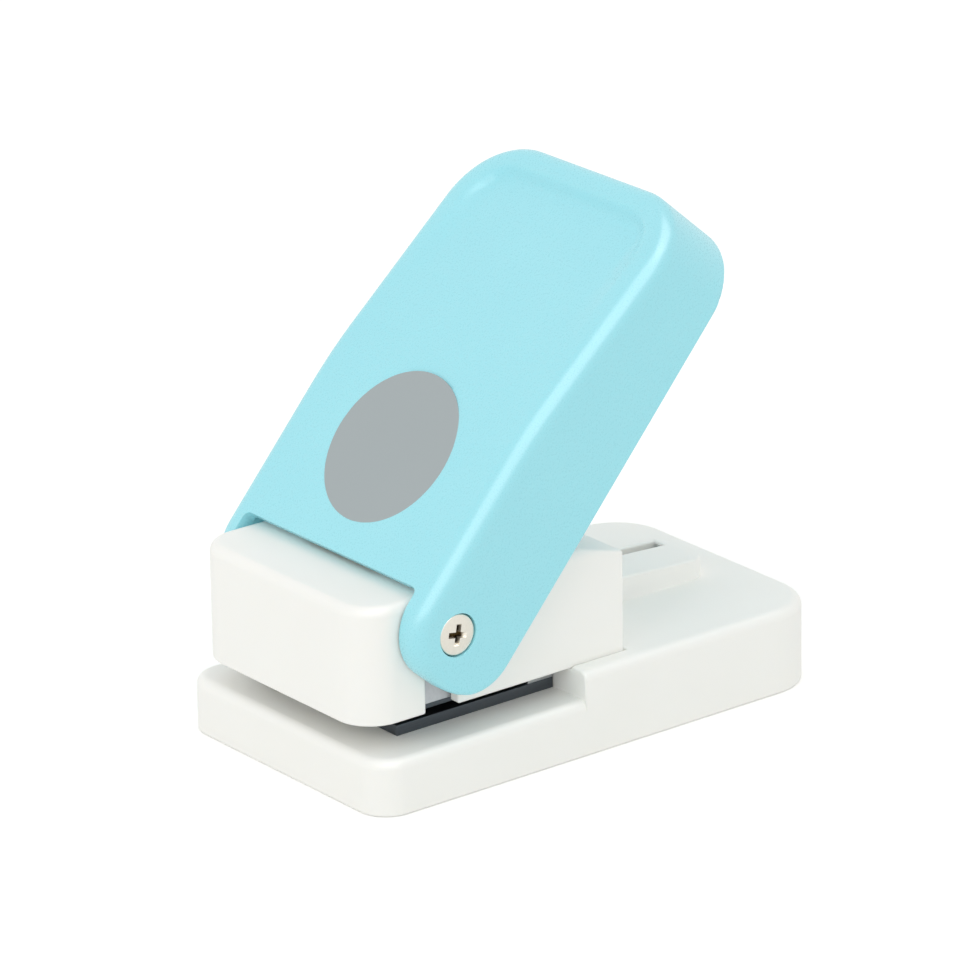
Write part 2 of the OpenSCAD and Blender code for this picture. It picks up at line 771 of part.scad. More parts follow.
// Lever: a channel with round noses about the pivot, a sloping top with bevelled edges and a shallow tray
module lever_side() {
    translate([nose_u, lever_top - nose_r]) circle(r = nose_r);
    translate([heel_u, heel_r - lever_bottom]) circle(r = heel_r);
    translate([tail_u, tail_r - lever_bottom]) circle(r = tail_r);
    polygon(concat(
        [[nose_u, lever_top], [-nose_reach, lever_top - nose_r], [-nose_reach, heel_r - lever_bottom],
         [heel_u, -lever_bottom],
         [tail_u, -lever_bottom], [lever_l, tail_r - lever_bottom], [lever_l, lever_line(lever_l)]],
        [for (i = [len(line_us) - 1 : -1 : 0]) [line_us[i], lever_line(line_us[i])]]));
}

// Cutters for the bevels of a flat top on z = 0
module side_bevels() {
    both_sides() translate([(lever_w - lever_bevel) / 2, 0, -lever_bevel / 2]) rotate([0, 45, 0])
        translate([-far / 2, -far / 2, 0]) cube(far);
}

module end_bevel(end_y) {
    translate([0, end_y - lever_bevel / 2, -lever_bevel / 2]) rotate([-45, 0, 0])
        translate([-far / 2, -far / 2, 0]) cube(far);
}

// Bevels along the flat top, along the slope and across the lever's end
module lever_bevels() {
    translate([0, 0, lever_top]) side_bevels();
    translate([0, slope_start + bend_l, lever_top - bend_drop]) rotate([-slope_angle, 0, 0]) {
        side_bevels();
        end_bevel((lever_l - slope_start - bend_l) / cos(slope_angle));
    }
}

module lever_plan(inset, end, r) {
    w = lever_w - 2 * inset;
    translate([-w / 2, -far / 2]) square([w, far / 2 + end - r]);
    translate([-w / 2 + r, -far / 2]) square([w - 2 * r, far / 2 + end]);
    for (s = [-1, 1]) translate([s * (w / 2 - r), end - r]) circle(r = r);
}

module upright_plan(z0, z1) {
    translate([0, 0, z0]) linear_extrude(z1 - z0) children();
}

module hollow_plan() {
    translate([-lever_inner_w / 2, -far / 2]) square([lever_inner_w, far / 2 + cheek_l + over]);
    intersection() {
        lever_plan(lever_wall, lever_l - lever_wall, lever_corner_r - lever_wall);
        translate([-lever_w / 2, cheek_l]) square([lever_w, far]);
    }
}

module lever_hollow() {
    intersection() {
        across(far) polygon(concat(
            [[-far / 2, -far / 2], [-far / 2, plate_under], [plate_front, plate_under]],
            [for (u = line_us) [u, tray_line(u) - plate_t]],
            [[lever_l, tray_line(lever_l) - plate_t], [lever_l, -far / 2]]));
        upright_plan(-far / 2, far / 2) hollow_plan();
    }
}

module lever_tray() {
    intersection() {
        across(far) polygon(concat(
            [for (u = line_us) if (u >= tray_start) [u, tray_line(u)]],
            [[lever_l, tray_line(lever_l)], [lever_l, far], [tray_start, far]]));
        upright_plan(0, far / 4) lever_plan(tray_rim, lever_l - tray_end_rim, tray_corner_r);
    }
}

module lever() {
    color(blue) on_lever() difference() {
        intersection() {
            across(lever_w) lever_side();
            upright_plan(-far / 4, far / 4) lever_plan(0, lever_l, lever_corner_r);
        }
        lever_hollow();
        translate([-lever_inner_w / 2, -far / 2, -far / 4])
            cube([lever_inner_w, far / 2 + plate_front, far / 2]);
        both_sides() {
            rotate([0, 90, 0]) cylinder(d = bush_d + 2 * pivot_play, h = far);
            translate([pocket_x, 0, 0]) rotate([0, 90, 0])
                cylinder(d = pivot_head_d + 2 * head_pocket_gap, h = far);
        }
        lever_bevels();
        lever_tray();
        translate([0, disc_u, lever_top - disc_t]) cylinder(d = punch_d + 2 * fit_gap, h = far / 4);
        for (s = [-1, 1]) translate([s * cam_screw_x, cam_screw_u, 0]) {
            cylinder(d = screw_bore_d, h = lever_top);
            translate([0, 0, cam_screw_seat]) cylinder(d = small_head_d + 2 * fit_gap, h = far / 4);
        }
    }
}

// Cam under the lever's top plate
module press_cam() {
    toe = cam_point(0);
    heel = cam_point(lever_open);
    color(acetal) on_lever() difference() {
        union() {
            across(cam_w) polygon(concat(
                [for (i = [0 : cam_steps]) cam_point(lever_open * i / cam_steps)],
                [[heel.x + cam_toe_u, heel.y], [cam_back_u, heel.y + cam_heel_v],
                 [cam_back_u, plate_under], [toe.x, plate_under]]));
            translate([-cam_flange_w / 2, cam_flange_front, plate_under - cam_flange_t])
                cube([cam_flange_w, cam_flange_rear - cam_flange_front, cam_flange_t]);
        }
        for (s = [-1, 1]) translate([s * cam_screw_x, cam_screw_u, plate_under - cam_screw_l])
            cylinder(d = screw_bore_d, h = far / 4);
    }
}

module cam_screws() {
    head_h = small_head_h - fit_gap;
    color(bright_steel) on_lever() for (s = [-1, 1])
        translate([s * cam_screw_x, cam_screw_u, cam_screw_seat]) difference() {
            union() {
                cylinder(d = small_head_d, h = head_h);
                translate([0, 0, -cam_screw_l]) cylinder(d = screw_d, h = cam_screw_l);
            }
            translate([0, 0, head_h + recess_d / 2]) rotate([180, 0, 0])
                cross_recess(small_head_d * recess_share);
        }
}

// Disc that shows the size of the circle
module size_disc() {
    color(grey) on_lever() translate([0, disc_u, lever_top - disc_t]) cylinder(d = punch_d, h = disc_t);
}

base();
base_cover();
cover_screws();
die_plate();
paper_stop();
guide_plate();
guide_screws();
die_screws();
punch_frame();
frame_screws();
housing();
housing_screws();
pivot_bush_left();
pivot_bush_right();
pivot_screw_left();
pivot_screw_right();
spring_left();
spring_right();
punch();
punch_head();
head_screw();
lever();
press_cam();
cam_screws();
size_disc();
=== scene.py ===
import json
from math import cos, radians, sin

import bmesh
import bpy
import numpy as np
from mathutils import Matrix, Vector


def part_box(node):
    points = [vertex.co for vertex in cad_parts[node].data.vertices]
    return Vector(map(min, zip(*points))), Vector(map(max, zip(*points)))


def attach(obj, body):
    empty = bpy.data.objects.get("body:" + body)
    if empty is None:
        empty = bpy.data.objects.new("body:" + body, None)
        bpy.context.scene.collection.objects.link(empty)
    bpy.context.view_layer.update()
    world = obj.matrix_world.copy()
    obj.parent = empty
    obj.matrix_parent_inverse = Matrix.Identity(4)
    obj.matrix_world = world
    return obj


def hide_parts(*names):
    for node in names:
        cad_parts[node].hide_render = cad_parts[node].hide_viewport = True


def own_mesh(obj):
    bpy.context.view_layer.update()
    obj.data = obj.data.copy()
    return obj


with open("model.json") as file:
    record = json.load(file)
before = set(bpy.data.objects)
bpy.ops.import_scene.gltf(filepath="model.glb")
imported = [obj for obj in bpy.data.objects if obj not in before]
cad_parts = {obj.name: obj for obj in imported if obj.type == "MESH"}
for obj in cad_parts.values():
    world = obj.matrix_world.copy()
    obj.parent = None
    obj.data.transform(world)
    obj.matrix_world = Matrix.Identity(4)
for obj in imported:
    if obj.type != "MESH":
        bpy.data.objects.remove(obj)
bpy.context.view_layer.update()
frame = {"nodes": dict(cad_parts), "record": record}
record = frame["record"]
MM = 0.001

# What the frame says: the hinge, each node's body and each node's material slot
hinge, slide = record["behaviour"]["joints"]
PIVOT_Y, PIVOT_Z = (c / MM for c in hinge["pos_m"][1:])
LEVER_OPEN = radians(hinge["range_deg"][1])
body_of_node = {node: body for body, nodes in record["behaviour"]["bodies"].items() for node in nodes}
slot_of_node = {subpart["node"]: subpart["material_slot"] for subpart in record["subparts"]}

# Sizes of the lever in millimetres, about the pivot: x across, u along, v up with the lever shut
LEVER_W, LEVER_L = 49.3, 71.8
LEVER_TOP, LEVER_BOTTOM = 8.2, 11.5
CHEEK_INNER_W, CHEEK_L = 41.7, 10.0
LEVER_WALL, PLATE_T, PLATE_FRONT = 2.4, 1.9, 2.6
NOSE_REACH, NOSE_R, HEEL_R = 7.7, 8.0, 8.2
CORNER_R, EDGE_R, END_R, RIM_R, MOUTH_R, HOLLOW_R = 12.0, 2.8, 2.2, 0.35, 1.2, 0.8
SLOPE_START, SLOPE, BEND_R = 24.3, radians(7.6), 86.0
TRAY_DEPTH, TRAY_START, TRAY_EASE = 1.5, 40.0, 28.0
TRAY_HALF_W, TRAY_END, TRAY_SIDE, TRAY_BACK = 21.5, 68.4, 5.0, 2.6
DISC_U, DISC_D, DISC_T, DISC_FIT = 20.2, 25.0, 0.5, 0.04
BORE_D, POCKET_D, POCKET_X = 5.1, 6.7, 23.35
CAM_SCREW_X, CAM_SCREW_U, CAM_BORE_D, CAM_HEAD_D, CAM_SEAT = 3.0, 10.6, 3.0, 4.3, 6.8

# Where the lever's soft edge gives way to a crisp rim: down the cheeks' front, and along the open bottom
CHEEK_FADE_V, CHEEK_FADE_U, CHEEK_FADE_START = 10.0, 8.0, 1.0
BOTTOM_FADE, BOTTOM_FADE_START = 3.0, 4.0
# The channel between the cheeks runs this far into the wider hollow behind them
CHANNEL_LAP = 0.5

# Sizes of the screws and the springs in millimetres
SHANK_D = 2.9
PIVOT_HEAD_D, PIVOT_HEAD_H, PIVOT_DOME, PIVOT_TURN = 6.3, 1.2, 0.2, radians(-10)
PIVOT_RECESS = 3.4
SCREW_HEAD_D, SCREW_HEAD_H, SCREW_DOME, SCREW_RECESS = 5.0, 1.6, 0.25, 3.0
HEAD_RIM_R, ARM_W, RECESS_D = 0.18, 0.9, 1.05
RECESS_TAPER, ARM_TAPER = 0.6, 0.12
COIL_R, WIRE_R, COIL_TURNS = 1.975, 0.225, 4.5
COIL_STEPS, WIRE_SIDES = 32, 12

# Width in millimetres of the rounded edge that each piece's making leaves on it
EDGE_OF_NODE = {
    "base": 0.4, "housing": 0.35, "die_plate": 0.12, "guide_plate": 0.12, "paper_stop": 0.1,
    "punch_frame": 0.15, "punch_head": 0.25, "press_cam": 0.15, "punch": 0.06, "size_disc": 0.08,
    "pivot_bush_left": 0.12, "pivot_bush_right": 0.12,
    "guide_screws": 0.1, "cam_screws": 0.1, "head_screw": 0.1}

# Fineness of the meshes in millimetres, and the lever's grid, whose planes miss the lever's flat faces
LEVER_STEP, PIVOT_STEP, SCREW_STEP = 0.45, 0.11, 0.16
LEVER_GRID = (-26.31, -9.27, -12.83), (26.4, 73.4, 9.4)
# Room round a screw's grid, in steps: beside the head, below the shank and above the crown
SIDE_ROOM, FOOT_ROOM, CROWN_ROOM = 2.5, 2.3, 2.0
# Halvings that find a crossing, reach of a slope in steps, and the pull that keeps a point near its middle
HALVINGS, SLOPE_REACH, STEADY, TINY = 10, 0.02, 0.03, 1e-9
# Angles between faces: shown as a sharp edge, rounded off as a corner, and taken as one flat face
SHARP, CORNER, FLAT = radians(38), radians(32), radians(0.2)
WELD, EDGE_SEGMENTS = 0.002, 3


# Shapes given by their distance fields

def soft_both(a, b, r):
    """Inside both a and b, with a round edge of radius r between them."""
    return np.minimum(-r, np.maximum(a, b)) + np.hypot(np.maximum(a + r, 0), np.maximum(b + r, 0))


def ease(t):
    """Goes from 0 to 1 with a soft start and a soft end."""
    t = np.clip(t, 0, 1)
    return t * t * (3 - 2 * t)


def round_box(x, y, half_x, half_y, r):
    """Distance to a rectangle about the origin with corners of radius r."""
    qx, qy = np.abs(x) - half_x + r, np.abs(y) - half_y + r
    return np.hypot(np.maximum(qx, 0), np.maximum(qy, 0)) + np.minimum(np.maximum(qx, qy), 0) - r


def surface(field, low, high, step):
    """Closed mesh of the places where field is zero, with its sharp edges kept: points and faces of four.
    Each cell of the grid that the surface crosses gets one point, where the slopes at its crossings meet."""
    axes = [np.arange(a, b + step, step) for a, b in zip(low, high)]
    shape = np.array([len(a) for a in axes])
    values = field(*np.meshgrid(*axes, indexing="ij"))
    low = np.array(low)
    points, normals, cells, faces = [], [], [], []
    stride = np.array([shape[1] * shape[2], shape[2], 1])
    for axis in range(3):
        near = np.take(values, range(shape[axis] - 1), axis)
        beyond = np.take(values, range(1, shape[axis]), axis)
        index = np.argwhere((near < 0) != (beyond < 0))
        others = [(axis + 1) % 3, (axis + 2) % 3]
        index = index[(index[:, others] > 0).all(1)]
        inside = near[tuple(index.T)] < 0
        step_along = np.eye(3)[axis] * step
        start = low + index * step
        lower, upper = np.zeros(len(index)), np.ones(len(index))
        for _ in range(HALVINGS):
            middle = (lower + upper) / 2
            same = (field(*(start + middle[:, None] * step_along).T) < 0) == inside
            lower, upper = np.where(same, middle, lower), np.where(same, upper, middle)
        p = start + ((lower + upper) / 2)[:, None] * step_along
        reach = step * SLOPE_REACH
        n = np.stack([field(*(p + d).T) - field(*(p - d).T) for d in np.eye(3) * reach], 1)
        n /= np.maximum(np.linalg.norm(n, axis=1, keepdims=True), TINY)
        round_edge = [index.copy() for _ in range(4)]
        for place, (i, j) in zip(round_edge, ((0, 0), (1, 0), (1, 1), (0, 1))):
            place[:, others[0]] -= i
            place[:, others[1]] -= j
        ids = np.stack([place @ stride for place in round_edge], 1)
        ids[inside] = ids[inside][:, ::-1]
        points += [p] * 4
        normals += [n] * 4
        cells += list(ids.T)
        faces.append(ids)
    points, normals, cells = np.concatenate(points), np.concatenate(normals), np.concatenate(cells)
    used, cells = np.unique(cells, return_inverse=True)
    count = np.bincount(cells)

    def gathered(v):
        return np.stack([np.bincount(cells, v[:, i]) for i in range(v.shape[1])], 1)

    middle = gathered(points) / count[:, None]
    square = gathered((normals[:, :, None] * normals[:, None, :]).reshape(-1, 9)).reshape(-1, 3, 3)
    offset = (normals * (points - middle[cells])).sum(1)
    pull = gathered(normals * offset[:, None])
    square += np.eye(3) * (STEADY * count)[:, None, None]
    corner = low + np.stack(np.unravel_index(used, shape), 1) * step
    place = middle + np.linalg.solve(square, pull[:, :, None])[:, :, 0]
    place = np.clip(place, corner, corner + step)
    return place, np.searchsorted(used, np.concatenate(faces))


def lever_top(u):
    """Top line of the lever: flat, then a bend, then a straight slope."""
    along = u - SLOPE_START
    bend_l, bend_drop = BEND_R * sin(SLOPE), BEND_R * (1 - cos(SLOPE))
    bend = BEND_R - np.sqrt(BEND_R ** 2 - np.clip(along, 0, bend_l) ** 2)
    return LEVER_TOP - np.where(along < bend_l, bend, bend_drop + (along - bend_l) * np.tan(SLOPE))


def tray_dip(x, u):
    """Depth of the tray below the top line: it fades in from the middle, with soft walls round its end."""
    rim = round_box(x, u, TRAY_HALF_W, TRAY_END, CORNER_R - LEVER_L + TRAY_END)
    walls = ease(-rim / TRAY_BACK) * ease((TRAY_HALF_W - np.abs(x)) / TRAY_SIDE)
    return TRAY_DEPTH * ease((u - TRAY_START) / TRAY_EASE) * walls


def lever_shell_field(x, u, v):
    """The lever's outside, as a full block: its two outlines, the soft edge between them and the tray."""
    slope = np.where(u > SLOPE_START, np.sin(np.clip((u - SLOPE_START) / BEND_R, 0, SLOPE)), 0)
    top = (v - lever_top(u)) * np.sqrt(1 - slope ** 2)
    nose_u, nose_v = NOSE_R - NOSE_REACH, LEVER_TOP - NOSE_R
    nose = np.hypot(np.maximum(nose_u - u, 0), np.maximum(v - LEVER_TOP + NOSE_R, 0)) - NOSE_R
    nose = np.where((u < nose_u) & (v > nose_v), nose, -NOSE_R)
    front = np.maximum(np.maximum(top, -NOSE_REACH - u), nose)
    heel_u, heel_v = HEEL_R - NOSE_REACH, HEEL_R - LEVER_BOTTOM
    heel = np.hypot(np.maximum(heel_u - u, 0), np.maximum(heel_v - v, 0)) - HEEL_R
    low = np.maximum(-LEVER_BOTTOM - v, np.where((u < heel_u) & (v < heel_v), heel, -HEEL_R))
    side = np.maximum(front, low)
    plan = round_box(x, u, LEVER_W / 2, LEVER_L, CORNER_R)
    cheek = ease((nose_v - v) / CHEEK_FADE_V) * ease(1 - (u - CHEEK_FADE_START) / CHEEK_FADE_U)
    bottom = ease((-v - LEVER_BOTTOM + BOTTOM_FADE_START) / BOTTOM_FADE)
    top_r = EDGE_R + (END_R - EDGE_R) * ease((u - LEVER_L + CORNER_R) / CORNER_R)
    edge_r = top_r + (RIM_R - top_r) * np.maximum(cheek, bottom)
    return np.maximum(soft_both(side, plan, edge_r), top + tray_dip(x, u))


def lever_field(x, u, v):
    """The lever: its outside less the hollow, the mouth over the housing, the holes and the disc's seat."""
    across = np.abs(x)
    inner_top = lever_top(u) - TRAY_DEPTH * ease((u - TRAY_START) / TRAY_EASE) - PLATE_T
    channel = np.maximum(across - CHEEK_INNER_W / 2, u - CHEEK_L - CHANNEL_LAP)
    inside = round_box(x, u, LEVER_W / 2 - LEVER_WALL, LEVER_L - LEVER_WALL, CORNER_R - LEVER_WALL)
    hollow = soft_both(np.minimum(channel, np.maximum(inside, CHEEK_L - u)), v - inner_top, HOLLOW_R)
    mouth = soft_both(across - CHEEK_INNER_W / 2, u - PLATE_FRONT, MOUTH_R)
    bore = np.hypot(u, v) - BORE_D / 2
    pocket = np.maximum(np.hypot(u, v) - POCKET_D / 2, POCKET_X - across)
    seat = np.maximum(np.hypot(x, u - DISC_U) - DISC_D / 2 + DISC_FIT, LEVER_TOP - DISC_T - v)
    cam_way = np.hypot(across - CAM_SCREW_X, u - CAM_SCREW_U)
    cam_bore = np.minimum(cam_way - CAM_BORE_D / 2, np.maximum(cam_way - CAM_HEAD_D / 2, CAM_SEAT - v))
    cut = np.minimum.reduce([hollow, mouth, bore, pocket, seat, cam_bore])
    return np.maximum(lever_shell_field(x, u, v), -cut)


def lever_to_frame(p):
    """Points about the pivot with the lever shut, to the frame in metres with the lever at rest."""
    x, u, v = p.T
    y = PIVOT_Y + u * cos(LEVER_OPEN) - v * sin(LEVER_OPEN)
    z = PIVOT_Z + u * sin(LEVER_OPEN) + v * cos(LEVER_OPEN)
    return np.stack([x, y, z], 1) * MM


def screw_shape(head_d, head_h, dome, recess, shank_l, turn, step):
    """A cross-recess screw along z, as points and faces: its domed crown on z = 0, its shank below."""
    head_r, ball_r = head_d / 2, (head_d ** 2 / 4 + dome ** 2) / (2 * dome)

    def field(x, y, z):
        r = np.hypot(x, y)
        crown = np.sqrt(r ** 2 + (z + ball_r) ** 2) - ball_r
        head = soft_both(np.maximum(r - head_r, -head_h - z), crown, HEAD_RIM_R)
        shank = np.maximum(r - SHANK_D / 2, np.maximum(z + head_h / 2, -head_h - shank_l - z))
        cross_x, cross_y = x * cos(turn) + y * sin(turn), y * cos(turn) - x * sin(turn)
        long = np.maximum(np.abs(cross_x), np.abs(cross_y)) - recess / 2 - RECESS_TAPER * z
        wide = np.minimum(np.abs(cross_x), np.abs(cross_y)) - ARM_W / 2 - ARM_TAPER * z
        arms = np.maximum(np.maximum(long, wide), -RECESS_D - z)
        return np.maximum(np.minimum(head, shank), -arms)

    reach = head_r + SIDE_ROOM * step
    foot = -head_h - shank_l - FOOT_ROOM * step
    return surface(field, (-reach, -reach, foot), (reach, reach, CROWN_ROOM * step), step)


# Pieces

def plain_mesh(name, points, faces):
    """A mesh of points and faces that shades smooth up to its sharp edges."""
    mesh = bpy.data.meshes.new(name)
    mesh.from_pydata([tuple(p) for p in points], [], [tuple(f) for f in faces])
    mesh.update()
    mesh.shade_smooth()
    mesh.set_sharp_from_angle(angle=SHARP)
    return mesh


def piece(name, mesh, node):
    """Shows a mesh in place of a node: it takes the node's body, finish and place in the record."""
    made = bpy.data.objects.new(name, mesh)
    bpy.context.scene.collection.objects.link(made)
    if not mesh.materials:
        mesh.materials.append(finish_of_slot[slot_of_node[node]])
    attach(made, body_of_node[node])
    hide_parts(node)
    return made


def evaluated_mesh(mesh, name, add_modifier):
    """The plain mesh that a modifier makes of a mesh."""
    made = bpy.data.objects.new(name, mesh)
    bpy.context.scene.collection.objects.link(made)
    add_modifier(made.modifiers)
    graph = bpy.context.evaluated_depsgraph_get()
    result = bpy.data.meshes.new_from_object(made.evaluated_get(graph))
    bpy.data.objects.remove(made)
    result.name = name
    return result


def eased(node, width):
    """The node's own solid with its outer edges rounded off to a width in millimetres.
    Its faces are first cut into well-shaped triangles, because slivers fold over at a rounded edge."""
    source = frame["nodes"][node].data
    mesh = bpy.data.meshes.new(node)
    mesh.from_pydata([v.co for v in source.vertices], [], [p.vertices for p in source.polygons])
    solid = bmesh.new()
    solid.from_mesh(mesh)
    bmesh.ops.remove_doubles(solid, verts=solid.verts, dist=WELD * MM)
    bmesh.ops.dissolve_limit(solid, angle_limit=FLAT, verts=solid.verts, edges=solid.edges)
    bmesh.ops.triangulate(solid, faces=solid.faces, quad_method="BEAUTY", ngon_method="BEAUTY")
    weight = solid.edges.layers.float.new("bevel_weight_edge")
    for face in solid.faces:
        face.smooth = True
    for edge in solid.edges:
        corner = edge.is_manifold and edge.calc_face_angle() > CORNER
        edge[weight] = corner and edge.is_convex
        edge.smooth = not corner or edge.is_convex
    solid.to_mesh(mesh)
    solid.free()

    def round_off(modifiers):
        bevel = modifiers.new("eased_edges", "BEVEL")
        bevel.limit_method, bevel.width, bevel.segments = "WEIGHT", width * MM, EDGE_SEGMENTS
        bevel.use_clamp_overlap, bevel.loop_slide = False, False
        flats = modifiers.new("flat_faces", "WEIGHTED_NORMAL")
        flats.mode, flats.weight, flats.keep_sharp = "FACE_AREA", 100, True

    return evaluated_mesh(mesh, node + "_eased", round_off)


# Materials

# Moulded plastic: size of its clouding, depth of its grain and of the light in it, swing of its roughness
CLOUD_MM, GRAIN_DEPTH_MM, GLOW_MM, SHEEN_SWING = 14.0, 0.02, 0.6, 0.04
PLASTIC_IOR = 1.52
# Worked metal: depth of its marks, swing of its roughness and how much duller the marks are
MARK_DEPTH_MM, SHINE_SWING, MARK_TONE = 0.01, 0.07, 0.85


def linear(colour):
    """sRGB hex to linear RGBA."""
    parts = [int(colour[i:i + 2], 16) / 255 for i in (1, 3, 5)]
    return [p / 12.92 if p <= 0.04045 else ((p + 0.055) / 1.055) ** 2.4 for p in parts] + [1.0]


def add(tree, kind, settings=(), **inputs):
    """Adds a node with its settings, and sets or links its inputs: by name, or by number as i0, i1 and on."""
    node = tree.nodes.new(kind)
    for key, value in dict(settings).items():
        setattr(node, key, value)
    for key, value in inputs.items():
        by_number = key[0] == "i" and key[1:].isdigit()
        socket = node.inputs[int(key[1:]) if by_number else key.replace("_", " ")]
        if isinstance(value, bpy.types.NodeSocket):
            tree.links.new(value, socket)
        else:
            socket.default_value = value
    return node


def new_material(name):
    """An empty material and its node tree."""
    material = bpy.data.materials.new(name)
    material.use_nodes = True
    material.node_tree.nodes.clear()
    return material, material.node_tree


def moulded_plastic(name, colour, deep, roughness, grain_mm, grain, subsurface, glow):
    """Moulded plastic: an even colour with the faintest clouding, a fine spark-eroded grain and a soft sheen.
    The grain is drawn coarser than the real one, so that it shows."""
    material, tree = new_material(name)
    place = add(tree, "ShaderNodeTexCoord").outputs["Object"]
    cloud = add(tree, "ShaderNodeTexNoise", Vector=place, Scale=1 / (CLOUD_MM * MM), Detail=2.0)
    tone = add(tree, "ShaderNodeMix", {"data_type": "RGBA"}, i0=cloud.outputs["Fac"], i6=linear(colour),
               i7=linear(deep))
    pores = add(tree, "ShaderNodeTexNoise", Vector=place, Scale=1 / (grain_mm * MM), Detail=3.0)
    rough = add(tree, "ShaderNodeMapRange", Value=pores.outputs["Fac"], To_Min=roughness - SHEEN_SWING,
                To_Max=roughness + SHEEN_SWING)
    bump = add(tree, "ShaderNodeBump", Height=pores.outputs["Fac"], Strength=grain,
               Distance=GRAIN_DEPTH_MM * MM)
    shader = add(tree, "ShaderNodeBsdfPrincipled", Base_Color=tone.outputs[2], Roughness=rough.outputs[0],
                 Normal=bump.outputs[0], IOR=PLASTIC_IOR, Subsurface_Weight=subsurface,
                 Subsurface_Scale=GLOW_MM * MM, Subsurface_Radius=glow)
    add(tree, "ShaderNodeOutputMaterial", Surface=shader.outputs[0])
    return material


def worked_metal(name, colour, roughness, mark_mm, mark_stretch, grain, recess_shade=None):
    """Metal with the fine marks of its making, drawn out along one direction, and a slightly uneven shine.
    Painted recess shade, where given, is a dark colour painted where the recess lies in shadow, and the two
    distances from the middle plane between which it gives way."""
    material, tree = new_material(name)
    place = add(tree, "ShaderNodeTexCoord").outputs["Object"]
    stretched = add(tree, "ShaderNodeMapping", Vector=place, Scale=mark_stretch)
    marks = add(tree, "ShaderNodeTexNoise", Vector=stretched.outputs[0], Scale=1 / (mark_mm * MM), Detail=4.0)
    rough = add(tree, "ShaderNodeMapRange", Value=marks.outputs["Fac"], To_Min=roughness - SHINE_SWING,
                To_Max=roughness + SHINE_SWING)
    bump = add(tree, "ShaderNodeBump", Height=marks.outputs["Fac"], Strength=grain,
               Distance=MARK_DEPTH_MM * MM)
    dull = [c * MARK_TONE for c in linear(colour)[:3]] + [1.0]
    tone = add(tree, "ShaderNodeMix", {"data_type": "RGBA"}, i0=marks.outputs["Fac"], i6=linear(colour),
               i7=dull)
    # Painted shade: dark brown painted deep in the recess, standing in for its shadow
    if recess_shade:
        shade_colour, deep, unshaded = recess_shade
        side = add(tree, "ShaderNodeSeparateXYZ", Vector=place)
        out = add(tree, "ShaderNodeMath", {"operation": "ABSOLUTE"}, i0=side.outputs[0])
        shown = add(tree, "ShaderNodeMapRange", Value=out.outputs[0], From_Min=deep * MM,
                    From_Max=unshaded * MM)
        tone = add(tree, "ShaderNodeMix", {"data_type": "RGBA"}, i0=shown.outputs[0], i6=linear(shade_colour),
                   i7=tone.outputs[2])
    shader = add(tree, "ShaderNodeBsdfPrincipled", Base_Color=tone.outputs[2], Metallic=1.0,
                 Roughness=rough.outputs[0], Normal=bump.outputs[0])
    add(tree, "ShaderNodeOutputMaterial", Surface=shader.outputs[0])
    return material


finish_of_slot = {
    # White ABS from a textured mould: a warm, even white with a broad soft sheen
    "white_plastic": moulded_plastic("white_moulded_abs", "#F6F6F2", "#F3F3EE", roughness=0.45, grain_mm=0.25,
                                     grain=0.25, subsurface=0.1, glow=(1.0, 0.9, 0.75)),
    # Pale blue ABS from a smoother mould: a clear line of gloss along each rounded edge
    "blue_plastic": moulded_plastic("pale_blue_moulded_abs", "#A1E4EE", "#9DE1EC", roughness=0.28,
                                    grain_mm=0.25, grain=0.06, subsurface=0.12, glow=(0.5, 1.0, 1.0)),
    # Vinyl label: flat grey, with next to no gloss
    "grey_plastic": moulded_plastic("grey_vinyl_label", "#A0A9AB", "#9EA7A9", roughness=0.55, grain_mm=0.3,
                                    grain=0.2, subsurface=0.0, glow=(1.0, 1.0, 1.0)),
    # Natural acetal: milky and a little waxy
    "acetal": moulded_plastic("natural_acetal", "#E8E4D8", "#E4E0D2", roughness=0.4, grain_mm=0.3,
                              grain=0.2, subsurface=0.1, glow=(1.0, 0.9, 0.7)),
    # Die-cast aluminium alloy: light grey and dull, as it comes from the die
    "cast_alloy": worked_metal("die_cast_aluminium_alloy", "#CFD2D6", roughness=0.5, mark_mm=0.5,
                               mark_stretch=(1, 1, 1), grain=0.5),
    # Blued tool steel: dark, with fine grinding marks from front to back
    "tool_steel": worked_metal("blued_tool_steel", "#5C6268", roughness=0.42, mark_mm=0.3,
                               mark_stretch=(1, 0.08, 1), grain=0.3),
    # Ground cutter steel: bright, with its marks along the cutter
    "cutter_steel": worked_metal("ground_cutter_steel", "#BFC2C6", roughness=0.3, mark_mm=0.2,
                                 mark_stretch=(1, 1, 0.05), grain=0.3),
    # Zinc-plated steel: bluish grey and half bright
    "screw_steel": worked_metal("zinc_plated_steel", "#B9BCC0", roughness=0.38, mark_mm=0.3,
                                mark_stretch=(1, 1, 1), grain=0.3),
    # Nickel-plated steel: warm and pale, with a brown painted shade in the depth of the recess
    "plated_steel": worked_metal("nickel_plated_steel", "#F4EFE4", roughness=0.4, mark_mm=0.3,
                                 mark_stretch=(1, 1, 1), grain=0.2, recess_shade=("#4A3B22", 23.7, 24.15)),
    # Drawn spring wire: plain grey and smooth
    "spring_steel": worked_metal("drawn_spring_wire", "#A9ABB0", roughness=0.3, mark_mm=0.2,
                                 mark_stretch=(1, 1, 1), grain=0.2)}

for node, slot in slot_of_node.items():
    mesh = frame["nodes"][node].data
    mesh.materials.clear()
    mesh.materials.append(finish_of_slot[slot])

# Lever
points, faces = surface(lever_field, *LEVER_GRID, LEVER_STEP)
piece("lever_shell", plain_mesh("lever_shell", lever_to_frame(points), faces), "lever")

# Mouldings, plates and castings; the base cover keeps its own solid
for node, width in EDGE_OF_NODE.items():
    piece(node + "_eased", eased(node, width), node)

